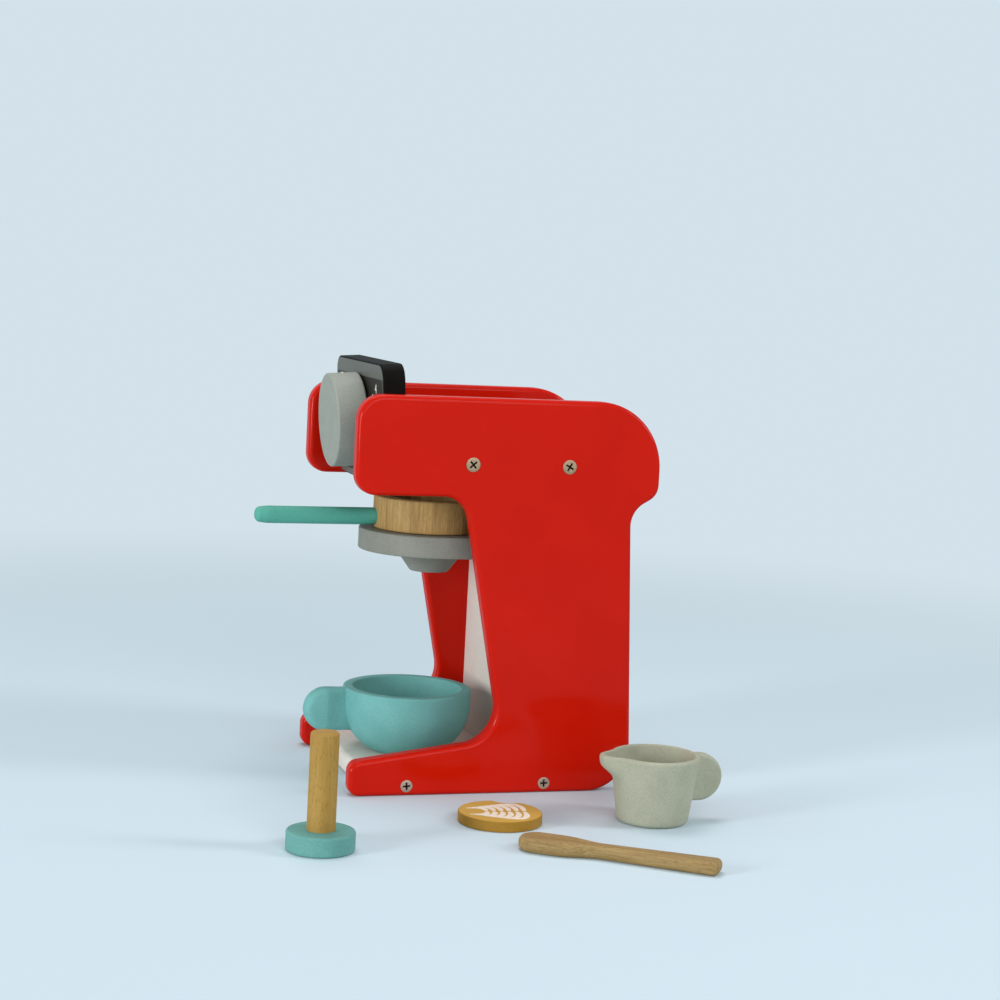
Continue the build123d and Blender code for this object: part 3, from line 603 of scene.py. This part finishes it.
LACQUER = red_lacquer()
WHITE_PAINT = satin_paint("satin_white_paint_on_birch", "#ded7cf", "#d9d1c8")
DIAL_PAINT = satin_paint("satin_black_paint_on_birch", "#0f0d0b", "#0a0907", gloss=0.05)
KNOB_PAINT = satin_paint("satin_light_grey_paint_on_beech", "#979b93", "#8e938a")
COLLAR_PAINT = satin_paint("satin_mid_grey_paint_on_beech", "#85867d", "#7a7b72")
TEAL_PAINT = satin_paint("satin_teal_paint_on_beech", "#70aeab", "#67a4a0")
FOOT_PAINT = satin_paint("satin_teal_paint_on_beech_foot", "#669e98", "#5d948d")
HANDLE_PAINT = satin_paint("satin_sea_green_paint_on_beech", "#55a494", "#4d9a89",
                           grain_turn=(math.radians(90), 0.0, 0.0))
JUG_PAINT = satin_paint("satin_sage_grey_paint_on_beech", "#a8aa96", "#9c9e8b")
# its top is painted lighter than its sides: painted light from above
COFFEE_PAINT = satin_paint("satin_caramel_paint_on_plywood", "#a37a2d", "#987024", top="#cba550")
BEECH = oiled_beech("oiled_beech_upright_grain")
ROD_BEECH = oiled_beech("oiled_beech_fine_grain", light="#a98744", middle="#a17e3d",
                        dark="#745727", streaks=0.2)
LEVEL_BEECH = oiled_beech("oiled_beech_front_to_back_grain", turn=(math.radians(90), 0.0, 0.0))
ALONG_STIRRER = (Matrix.Rotation(math.radians(90), 3, "X")
                 @ Matrix.Rotation(math.radians(STIRRER_TURN), 3, "Z")).to_euler()
STIRRER_BEECH = oiled_beech("oiled_beech_along_the_stirrer", light="#a1885a", middle="#957c4f",
                            dark="#6d5229", rays=0.6, turn=ALONG_STIRRER)
ZINC_STEEL = plated_steel("clear_zinc_plated_steel", "#b3b1ab", "#a7a59f", 0.34)
SCREW_STEEL = plated_steel("yellow_zinc_plated_steel", "#a88f76", "#9a846c", 0.52)
# a lighter copy of the screw steel for the foot screws: painted light against the shade they
# mirror low down
FOOT_SCREW_STEEL_PAINTED_LIGHTER = plated_steel("pale_zinc_plated_steel", "#c1a998", "#b29b8b", 0.5)
# a dark copy of the screw steel for the cross recesses: painted shade
RECESS_SHADE_STEEL = plated_steel("yellow_zinc_plated_steel_dark_with_oil", "#37332c", "#27241f", 0.6)
NICKEL = plated_steel("nickel_plated_magnet", "#c9c6bf", "#bab6ae", 0.16)
FELT = pressed_felt()
GREY_INK = printed_ink("screen_printed_grey_enamel", "#595b54")
BLACK_INK = printed_ink("screen_printed_black_enamel", "#1d1912")
WHITE_INK = printed_ink("screen_printed_white_enamel", "#e9e4da")
CREAM_INK = printed_ink("screen_printed_cream_enamel", "#f5efdf")

NODE_FINISHES = {
    LACQUER: ("right_side_panel", "left_side_panel"),
    WHITE_PAINT: ("base_board", "back_board", "top_board"),
    DIAL_PAINT: ("dial_plate",),
    COLLAR_PAINT: ("drip_collar",),
    HANDLE_PAINT: ("filter_handle",),
    FOOT_PAINT: ("tamper_base",),
    COFFEE_PAINT: ("latte_disc",),
    BEECH: ("filter_bowl", "back_board_dowels"),
    ROD_BEECH: ("tamper_rod",),
    LEVEL_BEECH: ("dial_plate_dowels", "knob_axle"),
    ZINC_STEEL: ("axle_collar", "strike_washer"),
    SCREW_STEEL: ("axle_collar_screw", "strike_washer_screw"),
    NICKEL: ("filter_magnet",),
    FELT: ("knob_washer",),
}


def dress_cad_nodes():
    """Gives every node that stays its own finish."""
    for finish, names in NODE_FINISHES.items():
        for name in names:
            frame["nodes"][name].material_slots[0].material = finish


# ---- Cup and jug -----------------------------------------------------------------------
def foot_centre(name):
    """The middle of a node's underside."""
    low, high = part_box(name)
    return Vector(((low.x + high.x) / 2, (low.y + high.y) / 2, low.z))


def ear_place(centre, turn):
    """Stands a tongue upright in the YZ plane, drawn towards +Y, or -Y when turned by 180."""
    upright = Euler((0, math.radians(-90), math.radians(turn))).to_matrix().to_4x4()
    return Matrix.Translation(centre) @ upright


def make_cup():
    """The turned cup and its thumb-scooped ear, as one painted piece."""
    at = foot_centre("cup_bowl")
    low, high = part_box("cup_bowl")
    rim = ((high.x - low.x) / 2, high.z - low.z)
    outside = arc_through(CUP_FOOT, CUP_BELLY, CUP_SHOULDER, CUP_ROUND_STEPS)
    inwards, upwards = CUP_INNER_BELLY
    inner_belly = (CUP_BELLY[0] - inwards * CUP_WALL, CUP_BELLY[1] + upwards * CUP_WALL)
    inner_foot = (CUP_FOOT[0] - CUP_WALL, CUP_FLOOR)
    inner_shoulder = (CUP_SHOULDER[0] - CUP_WALL, CUP_SHOULDER[1])
    inner_rim = (rim[0] - CUP_WALL, rim[1])
    inside = arc_through(inner_shoulder, inner_belly, inner_foot, CUP_ROUND_STEPS)
    cup = lathe("cup", at, [*outside, rim, inner_rim, *inside])
    round_ring(at, rim, CUP_RIM_ROUNDING, 6)
    round_ring(at, inner_rim, CUP_LIP_ROUNDING, 4)
    round_ring(at, CUP_FOOT, CUP_FOOT_ROUNDING, 3)
    ear_low, ear_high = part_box("cup_handle")
    radius = (ear_high.z - ear_low.z) / 2
    steps = [(distance, radius) for distance, share in CUP_EAR_SCOOP]
    ear = drawn_tongue("cup_ear", radius, ear_high.x - ear_low.x, steps, CUP_EAR_ROUNDING)
    scoop(CUP_EAR_SCOOP)
    root = CUP_EAR_SCOOP[-1][0]
    pick("verts", lambda point: point.y > root - TINY and point.x < 0)
    bpy.ops.transform.translate(value=(0, CUP_EAR_TILT, 0))
    centre = (at.x, ear_low.y + radius, (ear_low.z + ear_high.z) / 2)
    put(ear, ear_place(centre, 0))
    combine(cup, ear, "UNION")
    return finished(cup, "cup", TEAL_PAINT, ("cup_bowl", "cup_handle"))


def make_jug():
    """The turned jug with its pulled spout and its solid round ear, as one painted piece."""
    low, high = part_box("jug_body")
    rim_radius = (high.x - low.x) / 2
    at = Vector(((low.x + high.x) / 2, high.y - rim_radius, low.z))
    rim_height = high.z - low.z

    def wall(height, inset=0.0):
        flare = (rim_radius - JUG_FOOT_RADIUS) * height / rim_height
        return (JUG_FOOT_RADIUS + flare - inset, height)

    outside = [wall(height * MM) for height in JUG_RINGS]
    rim = wall(rim_height)
    inner_rim = wall(rim_height, JUG_WALL)
    heights = [height * MM for height in reversed(JUG_RINGS)]
    inside = [wall(height, JUG_WALL) for height in heights if height > JUG_FLOOR]
    inner_foot = wall(JUG_FLOOR, JUG_WALL)
    jug = lathe("jug", at, [*outside, rim, inner_rim, *inside, inner_foot])
    round_ring(at, rim, JUG_RIM_ROUNDING, 6)
    round_ring(at, inner_rim, JUG_LIP_ROUNDING, 4)
    round_ring(at, outside[0], JUG_FOOT_ROUNDING, 5)
    round_ring(at, inner_foot, JUG_FOOT_ROUNDING, 4)
    lip = at.z + rim_height - SPOUT_LIP

    def at_spout(point):
        return point.z > lip and abs(point.x - at.x) < SPOUT_PINCH and point.y < at.y

    pick("verts", at_spout)
    bpy.ops.transform.translate(
        value=(0, -SPOUT_PULL, 0), use_proportional_edit=True,
        proportional_edit_falloff="SMOOTH", proportional_size=SPOUT_SPREAD)
    ear_low, ear_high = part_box("jug_handle")
    radius = (ear_high.z - ear_low.z) / 2
    steps = [(JUG_EAR_ROOT, radius)]
    ear = drawn_tongue("jug_ear", radius, ear_high.x - ear_low.x, steps, JUG_EAR_ROUNDING)
    pick("verts", lambda point: point.y > JUG_EAR_ROOT - TINY and point.x < 0)
    bpy.ops.transform.translate(value=(0, JUG_EAR_TILT, 0))
    centre = (at.x, ear_high.y - radius, (ear_low.z + ear_high.z) / 2)
    put(ear, ear_place(centre, 180))
    combine(jug, ear, "UNION")
    return finished(jug, "jug", JUG_PAINT, ("jug_body", "jug_handle"))


# ---- Stirrer ---------------------------------------------------------------------------
def stirrer_half_width(distance):
    """Half the stirrer's width at this distance from the paddle's tip."""
    if distance <= PADDLE_END:
        return PADDLE_RADIUS
    if distance <= NECK_DISTANCE:
        share = (distance - PADDLE_END) / (NECK_DISTANCE - PADDLE_END)
        ease = share * share * (3 - 2 * share)
        return PADDLE_RADIUS + (NECK_HALF_WIDTH - PADDLE_RADIUS) * ease
    share = (distance - NECK_DISTANCE) / (STIRRER_LENGTH - NECK_DISTANCE)
    return NECK_HALF_WIDTH + (HANDLE_HALF_WIDTH - NECK_HALF_WIDTH) * share


def make_stirrer():
    """The flat stirrer, sanded round along all its edges."""
    low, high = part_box("stirrer")
    thickness = high.z - low.z
    straight = STIRRER_LENGTH - PADDLE_RADIUS
    steps = []
    for step in range(1, STIRRER_STEPS + 1):
        distance = straight * step / STIRRER_STEPS
        steps.append((distance, stirrer_half_width(distance + PADDLE_RADIUS)))
    stirrer = drawn_tongue("stirrer_carved", PADDLE_RADIUS, thickness, steps, STIRRER_ROUNDING,
                           end_corner=HANDLE_CORNER)
    bpy.ops.object.mode_set(mode="OBJECT")
    turn = Matrix.Rotation(math.radians(-STIRRER_TURN), 4, "Z")
    tip = Matrix.Translation((STIRRER_TIP.x, STIRRER_TIP.y, thickness / 2))
    put(stirrer, tip @ turn @ Matrix.Translation((0, PADDLE_RADIUS, 0)))
    return finished(stirrer, "stirrer", STIRRER_BEECH, ("stirrer",))


# ---- Knob and dial ---------------------------------------------------------------------
def on_dial():
    """The dial plate's own frame: x right, y into the plate, z up along it."""
    joint = next(joint for joint in frame["joints"] if joint["name"] == "knob_turn")
    lean = Matrix.Rotation(math.radians(DIAL_LEAN), 4, "X")
    return Matrix.Translation(joint["pos_m"]) @ lean


def facing_front():
    """Turns what was made lying flat so that its top faces the dial's front."""
    return on_dial() @ Matrix.Rotation(math.radians(90), 4, "X")


def make_knob():
    """The turned knob, slightly dished on its face."""
    rear = (KNOB_RADIUS, KNOB_BACK)
    front = (KNOB_RADIUS, KNOB_FRONT)
    dish = (KNOB_RADIUS - KNOB_BORDER, KNOB_FRONT)
    middle = (DISH_FLAT, KNOB_FRONT - KNOB_DISH)
    at = Vector((0, 0, 0))
    knob = lathe("knob_turned", at, [rear, front, dish, middle], sides=128)
    round_ring(at, front, KNOB_EDGE, 5)
    round_ring(at, rear, KNOB_EDGE, 5)
    bpy.ops.object.mode_set(mode="OBJECT")
    put(knob, facing_front())
    return finished(knob, "knob", KNOB_PAINT, ("control_knob",))


def make_knob_pip():
    """The small white pip at the top of the knob's rim, which shows where it points."""
    at = Vector((0, 0, KNOB_RADIUS - PIP_STAND))
    rings = [(PIP_RADIUS, 0), (PIP_RADIUS, 2 * PIP_STAND)]
    pip = lathe("knob_pip", at, rings, sides=24)
    round_ring(at, rings[1], PIP_STAND, 3)
    bpy.ops.object.mode_set(mode="OBJECT")
    middle = Matrix.Translation((0, -(KNOB_BACK + KNOB_FRONT) / 2, 0))
    put(pip, on_dial() @ middle)
    return finished(pip, "knob", WHITE_INK)


def make_dial_print():
    """The plate's print: a grey field, a black band, and a plain scale of ticks and numerals."""
    layers = (
        ("dial_field", FIELD_SIZE, FIELD_CENTRE_Z, FIELD_CORNER, FIELD_STAND, GREY_INK),
        ("dial_band", BAND_SIZE, BAND_CENTRE_Z, BAND_CORNER, BAND_STAND, BLACK_INK),
    )
    for name, size, centre_z, corner, stand, ink in layers:
        sheet = rounded_sheet(name, size, corner, stand + PRINT_SINK)
        bpy.ops.object.mode_set(mode="OBJECT")
        put(sheet, Matrix.Translation((0, centre_z, stand)))
        bpy.ops.mesh.primitive_cylinder_add(
            vertices=64, radius=WASHER_HOLE, depth=CUTTER_DEPTH)
        combine(sheet, started("hole_cutter"), "DIFFERENCE")
        put(sheet, facing_front())
        finished(sheet, "machine", ink)
    marks = [tick_mark(angle, angle in NUMERAL_ANGLES) for angle in tick_angles()]
    marks += [numeral(str(count + 1), angle) for count, angle in enumerate(NUMERAL_ANGLES)]
    scale = joined("dial_scale", marks)
    put(scale, facing_front())
    return finished(scale, "machine", WHITE_INK)


def tick_angles():
    """Angles round the knob, from +X anticlockwise, that carry a tick."""
    third = (NUMERAL_ANGLES[3] - NUMERAL_ANGLES[4]) / 3
    fan = [step * third for step in range(-3, 4)]
    return [round(angle, 3) for angle in fan + [180 + angle for angle in fan]]


def tick_mark(angle, major):
    """One tick of the scale, drawn outwards from the knob."""
    length = TICK_MAJOR if major else TICK_MINOR
    tick = rounded_sheet("tick", (length, TICK_WIDTH), TICK_WIDTH / 3, SCALE_THICKNESS)
    bpy.ops.object.mode_set(mode="OBJECT")
    turn = Matrix.Rotation(math.radians(angle), 4, "Z")
    return put(tick, turn @ Matrix.Translation((TICK_INNER + length / 2, 0, SCALE_STAND)))


def numeral(text, angle):
    """One plain numeral of the scale, upright, beyond the ticks."""
    deselect()
    bpy.ops.object.text_add()
    letter = bpy.context.active_object
    letter.data.body = text
    letter.data.size = NUMERAL_SIZE
    letter.data.align_x = "CENTER"
    letter.data.align_y = "CENTER"
    letter.data.extrude = SCALE_THICKNESS / 2
    letter.data.resolution_u = 6
    bpy.ops.object.convert(target="MESH")
    turn = math.radians(angle)
    middle = SCALE_STAND - SCALE_THICKNESS / 2
    place = (NUMERAL_RADIUS * math.cos(turn), NUMERAL_RADIUS * math.sin(turn), middle)
    piece = put(bpy.context.active_object, Matrix.Translation(place))
    edit(piece)
    bpy.ops.mesh.select_all(action="SELECT")
    bpy.ops.mesh.remove_doubles(threshold=TINY)
    bpy.ops.object.mode_set(mode="OBJECT")
    return piece


# ---- Latte print -----------------------------------------------------------------------
def painted_stroke(name, points, widths):
    """A flat brush stroke through these points, as wide as widths says at each."""
    deselect()
    curve = bpy.data.curves.new(name, "CURVE")
    curve.dimensions = "3D"
    curve.bevel_depth = 0.5
    curve.bevel_resolution = 3
    curve.use_fill_caps = True
    line = curve.splines.new("NURBS")
    line.points.add(len(points) - 1)
    for count, ((x, y), width) in enumerate(zip(points, widths)):
        line.points[count].co = (x, y, 0, 1)
        line.points[count].radius = width
    line.order_u = 3
    line.use_endpoint_u = True
    stroke = bpy.data.objects.new(name, curve)
    bpy.context.scene.collection.objects.link(stroke)
    choose(stroke)
    bpy.ops.object.convert(target="MESH")
    stroke = bpy.context.active_object
    edit(stroke)
    bpy.ops.mesh.select_all(action="SELECT")
    flattening = (1, 1, 2 * STROKE_STAND / max(widths))
    bpy.ops.transform.resize(value=flattening, center_override=(0, 0, 0))
    bpy.ops.mesh.remove_doubles(threshold=TINY)
    bpy.ops.object.mode_set(mode="OBJECT")
    return stroke


def leaf_strokes():
    """The leaf's fronds, which leave the stem on both sides and curl forwards."""
    strokes = []
    for count in range(LEAF_STROKES):
        start = LEAF_START + STROKE_STEP * count
        spread = (LEAF_SPREAD[0] - LEAF_SPREAD[1] * count) * MM
        rise = (LEAF_RISE[0] - LEAF_RISE[1] * count) * MM
        for side in (-1, 1):
            points = [
                (start, side * STEM_GAP),
                (start - FROND_DIP, side * 0.5 * spread),
                (start + 0.35 * rise, side * spread),
                (start + 1.1 * rise, side * 0.85 * spread),
            ]
            widths = [STROKE_WIDTH * share for share in STROKE_SHARES]
            strokes.append(painted_stroke("frond", points, widths))
    return strokes


def make_latte_print():
    """The white leaf on the coffee-art disc."""
    low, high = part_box("latte_disc")
    centre = Vector(((low.x + high.x) / 2, (low.y + high.y) / 2, high.z))
    leaf = joined("latte_leaf", leaf_strokes())
    turn = Matrix.Rotation(math.radians(LEAF_TURN), 4, "Z")
    shift = Matrix.Translation((LEAF_CENTRE.x, LEAF_CENTRE.y, 0))
    put(leaf, Matrix.Translation(centre) @ turn @ shift)
    return finished(leaf, "coffee_disc", CREAM_INK)


# ---- Screws ----------------------------------------------------------------------------
def cross_cutter(head_radius):
    """A tapered cross, as wide as the driver's recess at the head's face, which is at z = 0."""
    deselect()
    bpy.ops.mesh.primitive_cube_add(size=1)
    cutter = bpy.context.active_object
    cutter.scale = (RECESS_WIDTH, RECESS_WIDTH, 2 * RECESS_DEPTH)
    cutter = started("recess_cutter")
    edit(cutter)
    bpy.ops.mesh.select_mode(type="FACE")
    bpy.ops.mesh.select_all(action="DESELECT")
    mesh = bpy.context.edit_object.data
    form = bmesh.from_edit_mesh(mesh)
    for face in form.faces:
        face.select_set(abs(face.normal.z) < 0.5)
    bmesh.update_edit_mesh(mesh)
    arm = RECESS_SHARE * head_radius - RECESS_WIDTH / 2
    bpy.ops.mesh.extrude_faces_move(TRANSFORM_OT_shrink_fatten={"value": arm})
    face_outwards()
    pick("verts", lambda point: point.z < 0)
    taper = (RECESS_TAPER, RECESS_TAPER, 1)
    bpy.ops.transform.resize(value=taper, center_override=(0, 0, -RECESS_DEPTH))
    bpy.ops.object.mode_set(mode="OBJECT")
    return cutter


def cross_head_screw(name, head_radius, length):
    """A countersunk wood screw with its face just below z = 0 and its point towards -Z."""
    face = -SCREW_SINK
    neck = face - (head_radius - SHANK_RADIUS)
    at = Vector((0, 0, 0))
    rim = (head_radius - HEAD_GAP, face)
    screw = lathe(name, at, [
        (SCREW_TIP_RADIUS, -length),
        (SHANK_RADIUS, -length + SCREW_POINT),
        (SHANK_RADIUS, neck),
        (head_radius - HEAD_GAP, face - HEAD_GAP),
        rim,
    ], sides=48)
    round_ring(at, rim, HEAD_EDGE, 2)
    bpy.ops.object.mode_set(mode="OBJECT")
    return combine(screw, cross_cutter(head_radius), "DIFFERENCE")


def darken_recess(screw, head_radius, finish):
    """Gives a screw its finish, and the walls and floor of its cross a darker steel that paints in
    their shade.
    """
    screw.data.materials.append(finish)
    screw.data.materials.append(RECESS_SHADE_STEEL)
    reach = RECESS_SHARE * head_radius + TINY

    def in_recess(point):
        return math.hypot(point.x, point.y) < reach and point.z > -RECESS_DEPTH - TINY

    edit(screw)
    pick("faces", in_recess)
    screw.active_material_index = 1
    bpy.ops.object.material_slot_assign()
    bpy.ops.object.mode_set(mode="OBJECT")


def screw_pair(name, node_name, pattern, places, turns):
    """Two copies of one screw at their places, for one node of the frame."""
    copies = []
    for place, turn in zip(places, turns):
        twin = pattern.copy()
        twin.data = pattern.data.copy()
        bpy.context.scene.collection.objects.link(twin)
        copies.append(put(twin, place @ Matrix.Rotation(math.radians(turn), 4, "Z")))
    return finished(joined(name, copies), "machine", None, (node_name,))


def make_screws():
    """The side panels' eight screws and the drip collar's two, from three patterns."""
    outer_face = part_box("right_side_panel")[1].x
    rows = (
        (HEAD_SCREW_Y, HEAD_SCREW_TURNS, "head_screws", SCREW_STEEL),
        (FOOT_SCREW_Y, FOOT_SCREW_TURNS, "foot_screws", FOOT_SCREW_STEEL_PAINTED_LIGHTER),
    )
    for row, turns, node_end, finish in rows:
        low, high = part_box("right_" + node_end)
        radius = (high.z - low.z) / 2
        pattern = cross_head_screw("screw_pattern", radius, SCREW_LENGTH)
        darken_recess(pattern, radius, finish)
        faces = ((1, "right", outer_face + SCREW_STAND), (-1, "left", -outer_face))
        for side, word, face in faces:
            turn = Euler((0, side * math.radians(90), 0)).to_matrix().to_4x4()
            places = []
            for y in row:
                places.append(Matrix.Translation((face, y, (low.z + high.z) / 2)) @ turn)
            screw_pair(f"{word}_{node_end}_driven", f"{word}_{node_end}", pattern, places, turns)
        bpy.data.objects.remove(pattern)
    low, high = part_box("drip_collar_screws")
    radius = (high.z - low.z) / 2
    pattern = cross_head_screw("screw_pattern", radius, high.y - low.y)
    darken_recess(pattern, radius, SCREW_STEEL)
    turn = Euler((math.radians(-90), 0, 0)).to_matrix().to_4x4()
    places = []
    for x in (low.x + radius, high.x - radius):
        places.append(Matrix.Translation((x, high.y, (low.z + high.z) / 2)) @ turn)
    screw_pair("collar_screws_driven", "drip_collar_screws", pattern, places, COLLAR_SCREW_TURNS)
    bpy.data.objects.remove(pattern)


# ---- Studio ----------------------------------------------------------------------------
def make_floor():
    """A wide round floor with a border, all in matt paper."""
    deselect()
    bpy.ops.mesh.primitive_circle_add(vertices=96, radius=FLOOR_RADIUS, fill_type="NGON")
    floor = started("floor")
    edit(floor)
    bpy.ops.mesh.select_all(action="SELECT")
    bpy.ops.mesh.inset(thickness=FLOOR_BORDER)
    bpy.ops.object.mode_set(mode="OBJECT")
    floor.data.materials.append(studio_paper())


def add_lamp(name, place, width, height, power):
    """An upright soft box that points at the object."""
    bpy.ops.object.light_add(type="AREA", location=place)
    lamp = bpy.context.active_object
    lamp.name = name
    lamp.data.shape = "RECTANGLE"
    lamp.data.size = width
    lamp.data.size_y = height
    lamp.data.energy = power
    lamp.rotation_euler = (AIM - Vector(place)).to_track_quat("-Z", "Y").to_euler()


def light_studio():
    """Soft boxes and an even pale surround."""
    for lamp in LAMPS:
        add_lamp(*lamp)
    world = bpy.data.worlds.new("pale_surround")
    bpy.context.scene.world = world
    world.use_nodes = True
    tree = world.node_tree
    tree.nodes.clear()
    air = node(tree, "Background", {"Color": colour("#f4f6f8"), "Strength": AIR_LIGHT})
    paper = node(tree, "Background", {"Color": colour(BACKDROP), "Strength": 1.0})
    mixed = node(tree, "MixShader", links={"Fac": seen_rays(tree), 1: air.outputs["Background"],
                                           2: paper.outputs["Background"]})
    node(tree, "OutputWorld", links={"Surface": mixed.outputs["Shader"]})


def set_camera():
    """The camera, and the plain view transform."""
    deselect()
    bpy.ops.object.camera_add(location=EYE)
    camera = bpy.context.active_object
    camera.data.lens = LENS
    camera.data.sensor_width = 36.0
    camera.data.clip_end = 50.0
    level = Euler((math.radians(90 - EYE_DROP), 0, math.radians(EYE_TURN))).to_matrix()
    camera.rotation_euler = (level @ Matrix.Rotation(math.radians(EYE_ROLL), 3, "Z")).to_euler()
    bpy.context.scene.camera = camera
    bpy.context.scene.view_settings.view_transform = "Standard"


dress_cad_nodes()
make_cup()
make_jug()
make_stirrer()
make_knob()
make_knob_pip()
make_dial_print()
make_latte_print()
make_screws()
make_floor()
light_studio()
set_camera()
